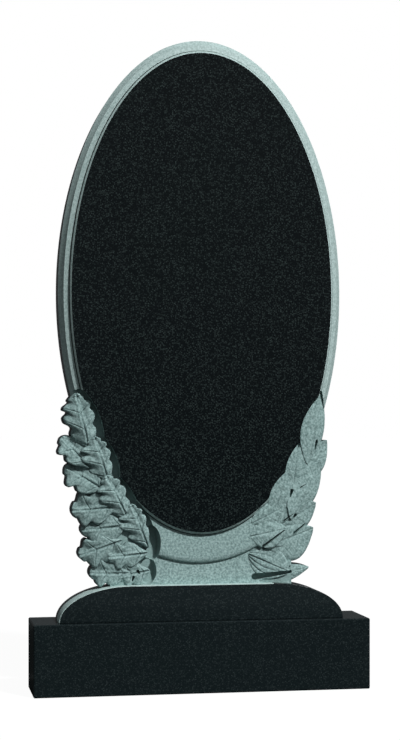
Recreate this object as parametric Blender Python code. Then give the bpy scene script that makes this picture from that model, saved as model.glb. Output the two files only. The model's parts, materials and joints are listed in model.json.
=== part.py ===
"""Headstone: an oval stele with two carved sprays of leaves, standing on a rectangular stand.

Metres, +Z up. The polished face looks towards -Y. The origin is the middle of the stand's underside.
"""
import math
from collections import namedtuple

import bmesh
import bpy

# Stand
STAND_WIDTH = 0.700
STAND_DEPTH = 0.140
STAND_HEIGHT = 0.147
STAND_EDGE = 0.002
SEAT_GAP = 0.0003

# Stele as a slab
STELE_THICKNESS = 0.080
STELE_SETBACK = 0.019
HUMP_WIDTH = 0.594
HUMP_HEIGHT = 0.074
HUMP_SHOULDER = 0.148
HUMP_EDGE = 0.0012
HUMP_STEPS = 12
NECK_HEIGHT = 0.1034
NECK_WIDTH = 0.380

# Oval: polished face, honed frame that falls outwards from it, and the steep bevel round the frame
FACE_WIDTH = 0.550
FACE_HEIGHT = 0.9957
FACE_EDGE = 0.0035
FRAME_WIDTH = 0.0125
FRAME_DROP = 0.0085
FRAME_SLOPE = 0.003
FRAME_EDGE = 0.005
RIM_WIDTH = 0.009
RIM_DROP = 0.029
# Widths of the frame and the rim at the top, in widths at the sides
BAND_TALL = 1.22
OVAL_SEGMENTS = 96

# Neck: the collar under the oval and the sunk field under the collar
FIELD_HEIGHT = 0.044
FIELD_DROP = 0.0165
COLLAR_RADIUS = 0.240
COLLAR_WIDTH = 0.300
COLLAR_OFFSET = -0.006
COLLAR_EDGE = 0.0055
SCOOP_WIDTH = 0.038
SCOOP_DROP = 0.034

# Sprays of leaves, measured down from the polished face
SPRAY_DROP = 0.036
BED_DROP = 0.020
OAK_GROUND_DROP = 0.031
LAUREL_GROUND_DROP = 0.019
OAK_MARGIN = 0.007
LAUREL_MARGIN = -0.002
GROUND_REACH = 0.045
OAK_CROWN = 0.11
LAUREL_CROWN = 0.055
LEAF_GROOVE = 0.0032
LOBE_RELIEF = 0.0022
LEAF_HOLLOW = 0.009

# Places worked out from the sizes
STELE_FOOT = STAND_HEIGHT + SEAT_GAP
FRONT = -STAND_DEPTH / 2 + STELE_SETBACK
BACK = FRONT + STELE_THICKNESS
HUMP_TOP = STELE_FOOT + HUMP_HEIGHT
FACE_FOOT = HUMP_TOP + NECK_HEIGHT
OVAL_CENTRE = FACE_FOOT + FACE_HEIGHT / 2
# Plates that end inside another stop this far apart, and cutters start this far in front.
PLATE_STEP = 0.004
# A bed is never narrower than this on each side of a leaf's middle line.
NARROWEST = 0.0005
# Where along a leaf the slab behind it ends
SLAB_REACH = 0.55

# A leaf's tip and base are shares: across in half widths of the face from the middle line, up in
# heights from the top of the hump to the middle of the oval. left and right are half widths in
# lengths of the leaf, seen from its base. The drops and the roll are shares of SPRAY_DROP.
# lobes counts the lobes on each side, before the one at the tip.
Leaf = namedtuple("Leaf", "name tip base left right tip_drop base_drop roll lobes", defaults=(0,))

OAK_LEAVES = (
    Leaf("oak_top", (-0.952, 0.655), (-0.838, 0.445), 0.28, 0.23, 0.25, 0.48, 0.16, 3),
    Leaf("oak_outer_1", (-1.052, 0.505), (-0.840, 0.400), 0.34, 0.36, 0.90, 0.42, 0.00, 2),
    Leaf("oak_outer_2", (-1.020, 0.405), (-0.720, 0.320), 0.36, 0.34, 0.90, 0.36, 0.00, 2),
    Leaf("oak_outer_3", (-0.975, 0.253), (-0.630, 0.268), 0.38, 0.42, 0.90, 0.34, 0.00, 2),
    Leaf("oak_outer_4", (-0.905, 0.187), (-0.540, 0.205), 0.34, 0.32, 0.90, 0.34, 0.00, 2),
    Leaf("oak_outer_5", (-0.922, 0.100), (-0.590, 0.155), 0.38, 0.30, 0.90, 0.40, 0.00, 2),
    Leaf("oak_outer_6", (-0.842, 0.040), (-0.530, 0.040), 0.34, 0.38, 0.85, 0.42, 0.00, 2),
    Leaf("oak_inner_1", (-0.818, 0.508), (-0.700, 0.345), 0.38, 0.23, 0.12, 0.36, 0.12, 3),
    Leaf("oak_inner_2", (-0.730, 0.376), (-0.545, 0.215), 0.32, 0.23, 0.10, 0.34, 0.08, 3),
    Leaf("oak_inner_3", (-0.542, 0.278), (-0.405, 0.125), 0.40, 0.19, 0.12, 0.34, 0.10, 3),
    Leaf("oak_inner_4", (-0.712, 0.095), (-0.405, 0.110), 0.34, 0.36, 0.42, 0.24, 0.00, 2),
    Leaf("oak_inner_5", (-0.630, 0.030), (-0.392, 0.050), 0.44, 0.40, 0.46, 0.34, 0.00, 2),
)

LAUREL_LEAVES = (
    Leaf("laurel_top", (0.923, 0.659), (0.820, 0.405), 0.22, 0.14, 0.20, 0.30, -0.22),
    Leaf("laurel_right_1", (0.978, 0.492), (0.780, 0.340), 0.30, 0.22, 0.60, 0.36, -0.20),
    Leaf("laurel_left_1", (0.738, 0.487), (0.690, 0.300), 0.21, 0.30, 0.12, 0.30, -0.10),
    Leaf("laurel_right_2", (0.930, 0.420), (0.690, 0.215), 0.30, 0.18, 0.50, 0.30, -0.22),
    Leaf("laurel_left_2", (0.650, 0.392), (0.540, 0.215), 0.22, 0.32, 0.10, 0.28, -0.10),
    Leaf("laurel_right_3", (0.892, 0.273), (0.580, 0.195), 0.32, 0.34, 0.62, 0.30, -0.15),
    Leaf("laurel_left_3", (0.660, 0.270), (0.375, 0.205), 0.30, 0.30, 0.26, 0.20, -0.06),
    Leaf("laurel_right_4", (0.872, 0.186), (0.480, 0.125), 0.24, 0.44, 0.66, 0.28, -0.12),
    Leaf("laurel_left_4", (0.652, 0.188), (0.352, 0.160), 0.36, 0.42, 0.24, 0.22, 0.00),
    Leaf("laurel_fan", (0.676, 0.036), (0.352, 0.101), 0.40, 0.36, 0.40, 0.42, 0.00),
    Leaf("laurel_foot", (0.838, 0.050), (0.420, 0.012), 0.15, 0.17, 0.72, 0.50, 0.00),
)

# Where an oak leaf's last notch lies, how deep the notches cut in and how far the lobes sweep
# towards the tip, all as shares of the leaf. The relief is full on a side as wide as OAK_FULL_SIDE.
OAK_LAST_NOTCH = 0.80
OAK_NOTCH = 0.30
OAK_SWEEP = 0.24
OAK_FULL_SIDE = 0.38
LAUREL_SWEEP = 0.12
# The hollow beside an oak leaf's midrib: its place and reach in lengths of the leaf, and where it
# starts and ends in half widths
HOLLOW_PLACE = 0.68
HOLLOW_REACH = 0.24
HOLLOW_START = 0.28
HOLLOW_END = 0.88
# How far a leaf's sides lie below its midrib and its middle above its ends, in crowns.
SIDE_FALL = 0.55
MIDDLE_RISE = 0.45

# The two hollows beside the neck, in the same shares as the leaves: across, up and half height
SCOOPS = ((-0.384, 0.143, 0.060), (-0.413, 0.048, 0.046))

OAK_ROWS = 20
LAUREL_ROWS = 9
COLUMNS = (-1.0, -0.5, 0.0, 0.5, 1.0)


def clear_scene():
    """Empty the file of objects."""
    for thing in list(bpy.data.objects):
        bpy.data.objects.remove(thing, do_unlink=True)


def new_collection(name):
    """A collection in the scene."""
    group = bpy.data.collections.new(name)
    bpy.context.scene.collection.children.link(group)
    return group


def stone(name, colour, roughness):
    """A Principled material for one finish of the stone."""
    material = bpy.data.materials.new(name)
    material.use_nodes = True
    shader = material.node_tree.nodes["Principled BSDF"]
    shader.inputs["Base Color"].default_value = (*colour, 1.0)
    shader.inputs["Roughness"].default_value = roughness
    shader.inputs["Metallic"].default_value = 0.0
    return material


def object_from_bmesh(name, mesh_builder, group):
    """Turn a finished bmesh into an object in the group."""
    bmesh.ops.recalc_face_normals(mesh_builder, faces=mesh_builder.faces)
    mesh = bpy.data.meshes.new(name)
    mesh_builder.to_mesh(mesh)
    mesh_builder.free()
    thing = bpy.data.objects.new(name, mesh)
    group.objects.link(thing)
    return thing


def mark_as_tool(thing):
    """Show a cutter or a body that is only joined in as a wire frame."""
    thing.hide_render = True
    thing.display_type = "WIRE"


def bevel_edges(mesh_builder, chosen, width, segments=1):
    """Break the chosen edges with a bevel."""
    bmesh.ops.bevel(
        mesh_builder,
        geom=chosen,
        offset=width,
        segments=segments,
        profile=0.5,
        affect="EDGES",
    )


def plate(name, outline, y_front, y_back, group, edge=0.0, edge_segments=1):
    """A flat plate with a closed outline of (x, z) points and a broken front edge."""
    builder = bmesh.new()
    ring = [builder.verts.new((x, y_back, z)) for x, z in outline]
    face = builder.faces.new(ring)
    grown = bmesh.ops.extrude_face_region(builder, geom=[face])["geom"]
    front_points = [item for item in grown if isinstance(item, bmesh.types.BMVert)]
    bmesh.ops.translate(builder, vec=(0.0, y_front - y_back, 0.0), verts=front_points)
    if edge > 0.0:
        front_set = set(front_points)
        front_edges = [e for e in builder.edges if set(e.verts) <= front_set]
        bevel_edges(builder, front_edges, edge, edge_segments)
    return object_from_bmesh(name, builder, group)


def arc_points(centre_x, centre_z, radius_x, radius_z, start, stop, steps):
    """Points on part of an ellipse, with angles in degrees."""
    points = []
    for step in range(steps + 1):
        angle = math.radians(start + (stop - start) * step / steps)
        points.append((centre_x + radius_x * math.cos(angle), centre_z + radius_z * math.sin(angle)))
    return points


def oval_outline(grow):
    """The outline of the polished face, or of a plate that stands out past it by grow."""
    half_width = FACE_WIDTH / 2 + grow
    half_height = FACE_HEIGHT / 2 + grow * BAND_TALL
    ring = arc_points(0.0, OVAL_CENTRE, half_width, half_height, 0.0, 360.0, OVAL_SEGMENTS)
    return ring[:-1]


def oval_stack(name, levels, group):
    """A closed body through ovals, from back to front. A level is how far it grows and its depth."""
    builder = bmesh.new()
    rings = []
    for grow, depth in levels:
        rings.append([builder.verts.new((x, depth, z)) for x, z in oval_outline(grow)])
    builder.faces.new(rings[0])
    builder.faces.new(rings[-1])
    for behind, before in zip(rings, rings[1:]):
        for index in range(OVAL_SEGMENTS):
            after = (index + 1) % OVAL_SEGMENTS
            builder.faces.new((behind[index], behind[after], before[after], before[index]))
    bmesh.ops.triangulate(builder, faces=builder.faces)
    return object_from_bmesh(name, builder, group)


def hump_outline():
    """The low hump at the stele's foot: a flat top with a quarter ellipse at each end."""
    flat = HUMP_WIDTH / 2 - HUMP_SHOULDER
    right = arc_points(flat, STELE_FOOT, HUMP_SHOULDER, HUMP_HEIGHT, 0.0, 90.0, HUMP_STEPS)
    left = arc_points(-flat, STELE_FOOT, HUMP_SHOULDER, HUMP_HEIGHT, 90.0, 180.0, HUMP_STEPS)
    return right + left


def neck_outline():
    """The neck between the hump and the oval, hidden behind the leaves at both sides."""
    half = NECK_WIDTH / 2
    foot = HUMP_TOP - HUMP_HEIGHT / 3
    top = FACE_FOOT + NECK_HEIGHT / 2
    return [(-half, foot), (half, foot), (half, top), (-half, top)]


def collar_outline():
    """The collar: a shallow arc below, and straight sides up into the oval."""
    centre_z = HUMP_TOP + FIELD_HEIGHT + COLLAR_RADIUS
    half = COLLAR_WIDTH / 2
    reach = math.degrees(math.asin(half / COLLAR_RADIUS))
    arc = arc_points(
        COLLAR_OFFSET, centre_z, COLLAR_RADIUS, COLLAR_RADIUS, 270.0 - reach, 270.0 + reach, 16
    )
    top = FACE_FOOT + NECK_HEIGHT
    return arc + [(COLLAR_OFFSET + half, top), (COLLAR_OFFSET - half, top)]


def spot(across, up):
    """A place on the stele from its shares of the face's half width and of the lower half."""
    return across * FACE_WIDTH / 2, HUMP_TOP + up * (OVAL_CENTRE - HUMP_TOP)


def oak_envelope(share):
    """Half width of an oak leaf along its length, before the lobes: narrow base, pointed tip."""
    return 0.08 + 0.92 * math.sin(math.pi * share ** 0.82) ** 0.65


def laurel_envelope(share):
    """Half width of a laurel leaf along its length: pointed tip, rounded base."""
    return 0.05 + 0.95 * math.sin(math.pi * share ** 0.90) ** 0.80


def leaf_axes(leaf):
    """Base point, length, direction to the tip and direction to the leaf's left."""
    tip_x, tip_z = spot(*leaf.tip)
    base_x, base_z = spot(*leaf.base)
    length = math.hypot(tip_x - base_x, tip_z - base_z)
    ahead = ((tip_x - base_x) / length, (tip_z - base_z) / length)
    left = (-ahead[1], ahead[0])
    return (base_x, base_z), length, ahead, left


def hollow(share, wide):
    """How deep the hollow beside an oak leaf's midrib is: full next to the midrib, none at the rim."""
    near = math.exp(-(((share - HOLLOW_PLACE) / HOLLOW_REACH) ** 2))
    return near * min(wide / HOLLOW_START, 1.0) * max(1.0 - wide / HOLLOW_END, 0.0)


def oak_point(leaf, share, column, length):
    """Along, across and drop of one point of an oak leaf with rounded lobes and side veins."""
    wide = abs(column)
    side = leaf.left if column > 0 else leaf.right
    full = oak_envelope(share)
    lobe = leaf.lobes * share / OAK_LAST_NOTCH
    valley = 0.5 + 0.5 * math.cos(2 * math.pi * lobe)
    across = column * side * length * full * (1.0 - OAK_NOTCH * valley ** 2 * wide ** 1.5)
    along = length * (share + OAK_SWEEP * wide ** 0.85 * full * (1.0 - share ** 3))
    drop = LOBE_RELIEF * (2.0 * valley - 1.0) * wide * side / OAK_FULL_SIDE
    if column < 0:
        drop += LEAF_HOLLOW * hollow(share, wide)
    return along, across, drop


def laurel_point(leaf, share, column, length):
    """Along, across and drop of one point of a smooth laurel leaf."""
    side = leaf.left if column > 0 else leaf.right
    half = side * length * laurel_envelope(share)
    forward = LAUREL_SWEEP * abs(column) * half * (1.0 - share)
    return share * length + forward, column * half, 0.0


def leaf_body(leaf, point_rule, crown_share, rows, group):
    """One carved leaf: a relief in front with straight sides back to the slab's back."""
    (base_x, base_z), length, ahead, left = leaf_axes(leaf)
    crown = crown_share * length
    builder = bmesh.new()
    grid = []
    for row in range(rows + 1):
        share = row / rows
        line = []
        for column in COLUMNS:
            along, across, drop = point_rule(leaf, share, column, length)
            drop += SPRAY_DROP * (leaf.base_drop + (leaf.tip_drop - leaf.base_drop) * share)
            drop += SPRAY_DROP * leaf.roll * column
            drop += crown * (SIDE_FALL * column ** 2 - MIDDLE_RISE * math.sin(math.pi * share))
            if column == 0.0:
                drop += LEAF_GROOVE
            x = base_x + ahead[0] * along + left[0] * across
            z = base_z + ahead[1] * along + left[1] * across
            line.append(builder.verts.new((x, FRONT + max(drop, 0.0005), z)))
        grid.append(line)
    for lower, upper in zip(grid, grid[1:]):
        for column in range(len(COLUMNS) - 1):
            builder.faces.new((lower[column], lower[column + 1], upper[column + 1], upper[column]))
    bmesh.ops.triangulate(builder, faces=builder.faces)
    edge = grid[0] + [line[-1] for line in grid[1:]] + grid[-1][-2::-1]
    edge += [line[0] for line in grid[-2:0:-1]]
    behind = [builder.verts.new((v.co.x, BACK, v.co.z)) for v in edge]
    for index, front_point in enumerate(edge):
        after = (index + 1) % len(edge)
        builder.faces.new((front_point, edge[after], behind[after], behind[index]))
    builder.faces.new(behind)
    return object_from_bmesh(leaf.name, builder, group)


def ground_outline(spray):
    """The slab behind one spray: out to the middles of the leaves and in to the middle line."""
    outer = [spot(*middle_of(leaf)) for leaf in spray]
    side = math.copysign(1.0, outer[0][0])
    low = HUMP_TOP - HUMP_HEIGHT / 3
    reach = max(abs(x) for x, z in outer)
    levels = sorted({round(z, 4) for x, z in outer if z > low}, reverse=True)
    points = []
    for level in levels:
        near = [abs(x) for x, z in outer if abs(z - level) < GROUND_REACH]
        points.append((side * max(near), level))
    points.append((side * min(reach, NECK_WIDTH / 2), low))
    inner = side * NECK_WIDTH / 4
    return points + [(inner, low), (inner, levels[0])]


def middle_of(leaf):
    """Shares of the point where a leaf is widest."""
    across = leaf.base[0] + (leaf.tip[0] - leaf.base[0]) * SLAB_REACH
    up = leaf.base[1] + (leaf.tip[1] - leaf.base[1]) * SLAB_REACH
    return across, up


def bed_cutter(leaf, envelope, margin, group):
    """A cutter that sinks the ground round one leaf, a margin wider than the leaf."""
    (base_x, base_z), length, ahead, left = leaf_axes(leaf)
    outline = []
    steps = 8
    for side_sign, side in ((1, leaf.left), (-1, leaf.right)):
        line = []
        for step in range(steps + 1):
            share = step / steps
            along = (length + 2 * margin) * share - margin
            across = side_sign * max(side * length * envelope(share) + margin, NARROWEST)
            line.append((along, across))
        outline += line if side_sign > 0 else line[::-1]
    points = []
    for along, across in outline:
        x = base_x + ahead[0] * along + left[0] * across
        z = base_z + ahead[1] * along + left[1] * across
        points.append((x, z))
    cutter = plate("bed_" + leaf.name, points, FRONT - PLATE_STEP, FRONT + BED_DROP, group)
    mark_as_tool(cutter)
    return cutter


def scoop_cutters(group):
    """Two hollows beside the neck, where the bed of the oak leaves ends."""
    half = SCOOP_WIDTH / 2
    for number, (across, up, height_share) in enumerate(SCOOPS, start=1):
        x, z = spot(across, up)
        tall = height_share * (OVAL_CENTRE - HUMP_TOP)
        ring = arc_points(x, z, half, tall, 0.0, 360.0, 20)[:-1]
        cutter = plate(f"scoop_{number}", ring, FRONT - PLATE_STEP, FRONT + SCOOP_DROP, group)
        mark_as_tool(cutter)


def add_boolean(thing, name, operation, group):
    """A live Boolean of the object with every object of a collection."""
    modifier = thing.modifiers.new(name, "BOOLEAN")
    modifier.operation = operation
    modifier.operand_type = "COLLECTION"
    modifier.collection = group
    modifier.solver = "EXACT"


def make_stele(group, plates, hollows, leaves):
    """The stele: one slab with the oval, neck and hump, and the sprays carved on it."""
    frame_front = FRONT + FRAME_DROP
    frame_outer = frame_front + FRAME_SLOPE
    levels = (
        (FRAME_WIDTH + RIM_WIDTH, BACK),
        (FRAME_WIDTH + RIM_WIDTH, FRONT + RIM_DROP),
        (FRAME_WIDTH, frame_outer + FRAME_EDGE),
        (FRAME_WIDTH - FRAME_EDGE, frame_outer),
        (0.0, frame_front),
    )
    slab = oval_stack("stele", levels, group)
    face = plate("face", oval_outline(0.0), FRONT, BACK - 2 * PLATE_STEP, plates, FACE_EDGE)
    neck = plate("neck", neck_outline(), FRONT + FIELD_DROP, BACK, plates)
    collar = plate("collar", collar_outline(), frame_front, BACK - PLATE_STEP, plates, COLLAR_EDGE, 2)
    hump = plate("hump", hump_outline(), FRONT, BACK, leaves, HUMP_EDGE)
    sprays = (("oak", OAK_LEAVES, OAK_GROUND_DROP), ("laurel", LAUREL_LEAVES, LAUREL_GROUND_DROP))
    grounds = [
        plate("ground_" + side, ground_outline(spray), FRONT + drop, BACK, leaves)
        for side, spray, drop in sprays
    ]
    for thing in (face, neck, collar, hump, *grounds):
        mark_as_tool(thing)
    for leaf in OAK_LEAVES:
        bed_cutter(leaf, oak_envelope, OAK_MARGIN, hollows)
        mark_as_tool(leaf_body(leaf, oak_point, OAK_CROWN, OAK_ROWS, leaves))
    for leaf in LAUREL_LEAVES:
        bed_cutter(leaf, laurel_envelope, LAUREL_MARGIN, hollows)
        mark_as_tool(leaf_body(leaf, laurel_point, LAUREL_CROWN, LAUREL_ROWS, leaves))
    scoop_cutters(hollows)
    add_boolean(slab, "join the plates", "UNION", plates)
    add_boolean(slab, "sink the beds", "DIFFERENCE", hollows)
    add_boolean(slab, "join the leaves", "UNION", leaves)
    return slab


def make_stand(group):
    """The stand: a plain block with fine broken edges."""
    builder = bmesh.new()
    bmesh.ops.create_cube(builder, size=1.0)
    bmesh.ops.scale(builder, vec=(STAND_WIDTH, STAND_DEPTH, STAND_HEIGHT), verts=builder.verts)
    bmesh.ops.translate(builder, vec=(0.0, 0.0, STAND_HEIGHT / 2), verts=builder.verts)
    bevel_edges(builder, list(builder.edges), STAND_EDGE)
    return object_from_bmesh("stand", builder, group)


def main():
    clear_scene()
    headstone = new_collection("headstone")
    plates = new_collection("plates joined to the slab")
    hollows = new_collection("cutters")
    leaves = new_collection("carved leaves")
    polished = stone("polished gabbro", (0.010, 0.014, 0.014), 0.25)
    honed = stone("honed gabbro", (0.30, 0.36, 0.35), 0.70)
    stele = make_stele(headstone, plates, hollows, leaves)
    stele.data.materials.append(honed)
    stand = make_stand(headstone)
    stand.data.materials.append(polished)


main()
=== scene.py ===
"""A gabbro headstone: a stepped oval stele with an oak spray and a laurel spray carved on it, on a
rectangular stand.

Metres, +Z up, the polished face towards -Y, the origin in the middle of the stand's underside. The
packed stele and stand give the places. The script is laid out as an add-on and is run as a script.
"""
import json
import math
from collections import namedtuple

import bmesh
import bpy
from bpy.props import FloatProperty, FloatVectorProperty, IntProperty, PointerProperty
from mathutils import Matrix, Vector, noise
from mathutils.bvhtree import BVHTree

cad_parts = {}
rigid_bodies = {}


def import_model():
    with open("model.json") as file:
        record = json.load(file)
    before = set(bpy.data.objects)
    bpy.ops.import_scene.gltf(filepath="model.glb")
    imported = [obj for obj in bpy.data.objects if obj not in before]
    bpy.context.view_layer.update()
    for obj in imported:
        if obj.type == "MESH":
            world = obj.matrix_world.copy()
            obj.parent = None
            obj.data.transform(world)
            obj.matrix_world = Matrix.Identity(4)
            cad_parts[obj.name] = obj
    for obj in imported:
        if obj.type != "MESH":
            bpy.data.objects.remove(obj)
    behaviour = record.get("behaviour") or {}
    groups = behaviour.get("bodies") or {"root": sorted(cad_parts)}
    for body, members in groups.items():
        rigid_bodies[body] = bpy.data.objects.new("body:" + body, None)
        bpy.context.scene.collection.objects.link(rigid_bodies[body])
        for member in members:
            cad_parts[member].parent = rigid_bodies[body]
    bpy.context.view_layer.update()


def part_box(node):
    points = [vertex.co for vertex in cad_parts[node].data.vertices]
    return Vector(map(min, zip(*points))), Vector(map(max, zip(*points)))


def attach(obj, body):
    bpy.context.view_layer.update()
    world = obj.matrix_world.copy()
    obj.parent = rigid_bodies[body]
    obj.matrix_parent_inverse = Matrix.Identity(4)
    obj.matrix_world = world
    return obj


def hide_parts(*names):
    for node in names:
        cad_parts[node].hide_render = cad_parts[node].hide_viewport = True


bl_info = {
    "name": "Oval headstone with carved sprays",
    "version": (1, 0, 0),
    "blender": (4, 5, 0),
    "location": "3D View > Sidebar > Headstone",
    "description": "Builds an oval gabbro stele with an oak and a laurel spray, its stand and a pale stage",
    "category": "Object",
}

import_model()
STELE_LOW, STELE_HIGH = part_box("stele")
STAND_LOW, STAND_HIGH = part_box("stand")
FRONT = STELE_LOW.y
BACK = STELE_HIGH.y
FOOT = STELE_LOW.z

# Lengths in metres that keep two bodies from sharing a face where one is joined to the other or cut
# by it: how far ahead of the face a cutter starts, how far in front of the slab's back the field, the
# collar and the sprays end, how much deeper the slab's holes are than the sprays', and how far behind
# the face the highest point of a leaf stays.
CUTTER_START = 0.004
FIELD_SHORT = 0.0005
COLLAR_SHORT = 0.004
SPRAY_SHORT = 0.0004
SLAB_HOLES_FURTHER = 0.0008
LEAF_BEHIND = 0.0004

# Straight pieces along each round outline.
HUMP_STEPS = 48
COLLAR_STEPS = 64
SCOOP_STEPS = 64
HOLE_STEPS = 10
BED_STEPS = 32

# Broken edges of the stand.
STAND_EDGE = 0.002

# Finishes of the stone, in the order of every piece's material slots.
FINISH_NAMES = ("polished_gabbro", "honed_gabbro", "carved_gabbro", "tooled_gabbro", "close_gabbro")
POLISHED, HONED, CARVED, TOOLED, CLOSE = range(len(FINISH_NAMES))

# A leaf's tip and base are shares: across in half widths of the face from the middle line, up in
# heights from the top of the hump to the middle of the oval. left and right are half widths in
# lengths of the leaf, seen from its base. The drops and the roll are shares of the spray's drop.
# lobes counts the lobes on each side, before the one at the tip.
Leaf = namedtuple("Leaf", "name tip base left right tip_drop base_drop roll lobes", defaults=(0,))

OAK_LEAVES = (
    Leaf("top", (-0.952, 0.655), (-0.838, 0.445), 0.28, 0.23, 0.25, 0.48, 0.16, 3),
    Leaf("outer_1", (-1.052, 0.505), (-0.840, 0.400), 0.34, 0.36, 0.90, 0.42, 0.00, 2),
    Leaf("outer_2", (-1.020, 0.405), (-0.720, 0.320), 0.36, 0.34, 0.90, 0.36, 0.00, 2),
    Leaf("outer_3", (-0.975, 0.253), (-0.630, 0.268), 0.38, 0.42, 0.90, 0.34, 0.00, 2),
    Leaf("outer_4", (-0.905, 0.187), (-0.540, 0.205), 0.34, 0.32, 0.90, 0.34, 0.00, 2),
    Leaf("outer_5", (-0.922, 0.100), (-0.590, 0.155), 0.38, 0.30, 0.90, 0.40, 0.00, 2),
    Leaf("outer_6", (-0.842, 0.040), (-0.530, 0.040), 0.34, 0.38, 0.85, 0.42, 0.00, 2),
    Leaf("inner_1", (-0.818, 0.508), (-0.700, 0.345), 0.38, 0.23, 0.12, 0.36, 0.12, 3),
    Leaf("inner_2", (-0.730, 0.376), (-0.545, 0.215), 0.32, 0.23, 0.10, 0.34, 0.08, 3),
    Leaf("inner_3", (-0.542, 0.278), (-0.405, 0.125), 0.40, 0.19, 0.12, 0.34, 0.10, 3),
    Leaf("inner_4", (-0.712, 0.095), (-0.405, 0.110), 0.34, 0.36, 0.42, 0.24, 0.00, 2),
    Leaf("inner_5", (-0.630, 0.030), (-0.392, 0.050), 0.44, 0.40, 0.46, 0.34, 0.00, 2),
)

LAUREL_LEAVES = (
    Leaf("top", (0.923, 0.659), (0.820, 0.405), 0.22, 0.14, 0.20, 0.30, -0.22),
    Leaf("right_1", (0.978, 0.492), (0.780, 0.340), 0.30, 0.22, 0.60, 0.36, -0.20),
    Leaf("left_1", (0.738, 0.487), (0.690, 0.300), 0.21, 0.30, 0.12, 0.30, -0.10),
    Leaf("right_2", (0.930, 0.420), (0.690, 0.215), 0.30, 0.18, 0.50, 0.30, -0.22),
    Leaf("left_2", (0.650, 0.392), (0.540, 0.215), 0.22, 0.32, 0.10, 0.28, -0.10),
    Leaf("right_3", (0.892, 0.273), (0.580, 0.195), 0.32, 0.34, 0.62, 0.30, -0.15),
    Leaf("left_3", (0.660, 0.270), (0.375, 0.205), 0.30, 0.30, 0.26, 0.20, -0.06),
    Leaf("right_4", (0.872, 0.186), (0.480, 0.125), 0.24, 0.44, 0.66, 0.28, -0.12),
    Leaf("left_4", (0.652, 0.188), (0.352, 0.160), 0.36, 0.42, 0.24, 0.22, 0.00),
    Leaf("fan", (0.676, 0.036), (0.352, 0.101), 0.40, 0.36, 0.40, 0.42, 0.00),
    Leaf("foot", (0.838, 0.050), (0.420, 0.012), 0.15, 0.17, 0.72, 0.50, 0.00),
)

# A drilled hole or a slash between leaves: two ends in millimetres from the middle of the stele's
# foot, across and up, and its width in millimetres.
Hole = namedtuple("Hole", "start end width")

OAK_HOLES = (
    Hole((-143, 91), (-145, 83), 6),
    Hole((-134, 103), (-130, 98), 6),
)

LAUREL_HOLES = (
    Hole((251, 470), (260, 437), 8),
    Hole((243, 369), (240, 352), 6),
    Hole((189, 266), (186, 254), 7),
    Hole((208, 272), (219, 279), 2.4),
    Hole((198, 215), (194, 210), 7),
    Hole((173, 203), (192, 217), 3.6),
    Hole((196, 177), (219, 195), 6),
    Hole((129, 151), (173, 183), 6),
    Hole((134, 146), (171, 150), 2.2),
    Hole((128, 147), (133, 146), 5),
    Hole((112, 87), (189, 96), 14),
)
MILLIMETRES_IN_METRE = 1000
# A hole's far end, in widths of its near end.
HOLE_TAPER = 0.45

# The two hollows beside the neck: across and up as for a leaf, and half their height in the same
# heights. Their dish goes from the floor up by (inset in half widths, rise in metres).
SCOOPS = ((-0.384, 0.143, 0.060), (-0.413, 0.048, 0.046))
SCOOP_DISH = ((0.35, 0.0), (0.12, 0.004), (0.0, 0.010))


def linear(code):
    """An sRGB hex colour as linear red, green and blue."""
    parts = [int(code[place:place + 2], 16) / 255 for place in (1, 3, 5)]
    return tuple(p / 12.92 if p <= 0.04045 else ((p + 0.055) / 1.055) ** 2.4 for p in parts)


def length_property(name, description, default):
    """A property that holds a length in metres."""
    return FloatProperty(name=name, description=description, default=default, unit="LENGTH", precision=4)


def colour_property(name, description, code):
    """A property that holds a colour, given in sRGB hex."""
    return FloatVectorProperty(
        name=name, description=description, subtype="COLOR", size=3, default=linear(code), min=0, max=1
    )


class OvalSizes(bpy.types.PropertyGroup):
    """Sizes of the stepped oval: polished face, frame and rim"""

    face_width: length_property("Face width", "Width of the raised oval face", 0.550)
    face_height: length_property("Face height", "Height of the raised oval face", 0.9957)
    face_edge: length_property("Face edge", "Honed chamfer round the polished face", 0.0035)
    frame_width: length_property("Frame width", "Honed frame round the face, at the sides", 0.0125)
    frame_drop: length_property("Frame drop", "How far the frame lies behind the face", 0.0085)
    frame_slope: length_property("Frame slope", "How far the frame falls towards its outer edge", 0.0030)
    frame_edge: length_property("Frame edge", "Rounding of the frame's outer edge", 0.0050)
    rim_width: length_property("Rim width", "Steep bevel outside the frame, at the sides", 0.009)
    rim_drop: length_property("Rim drop", "How far the bevel's foot lies behind the face", 0.029)
    # Partly painted shade: the polished black of this wall stands in for the thin shadow line round the
    # face.
    quirk: length_property("Quirk", "Dark wall between the face and the frame", 0.0018)
    band_tall: FloatProperty(
        name="Band at top", description="Frame and rim at the top, in widths at the sides", default=1.22
    )
    arris: length_property("Arris", "Broken edge of the slab's outside", 0.001)
    segments: IntProperty(name="Segments", description="Straight pieces round the oval", default=256)


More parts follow.
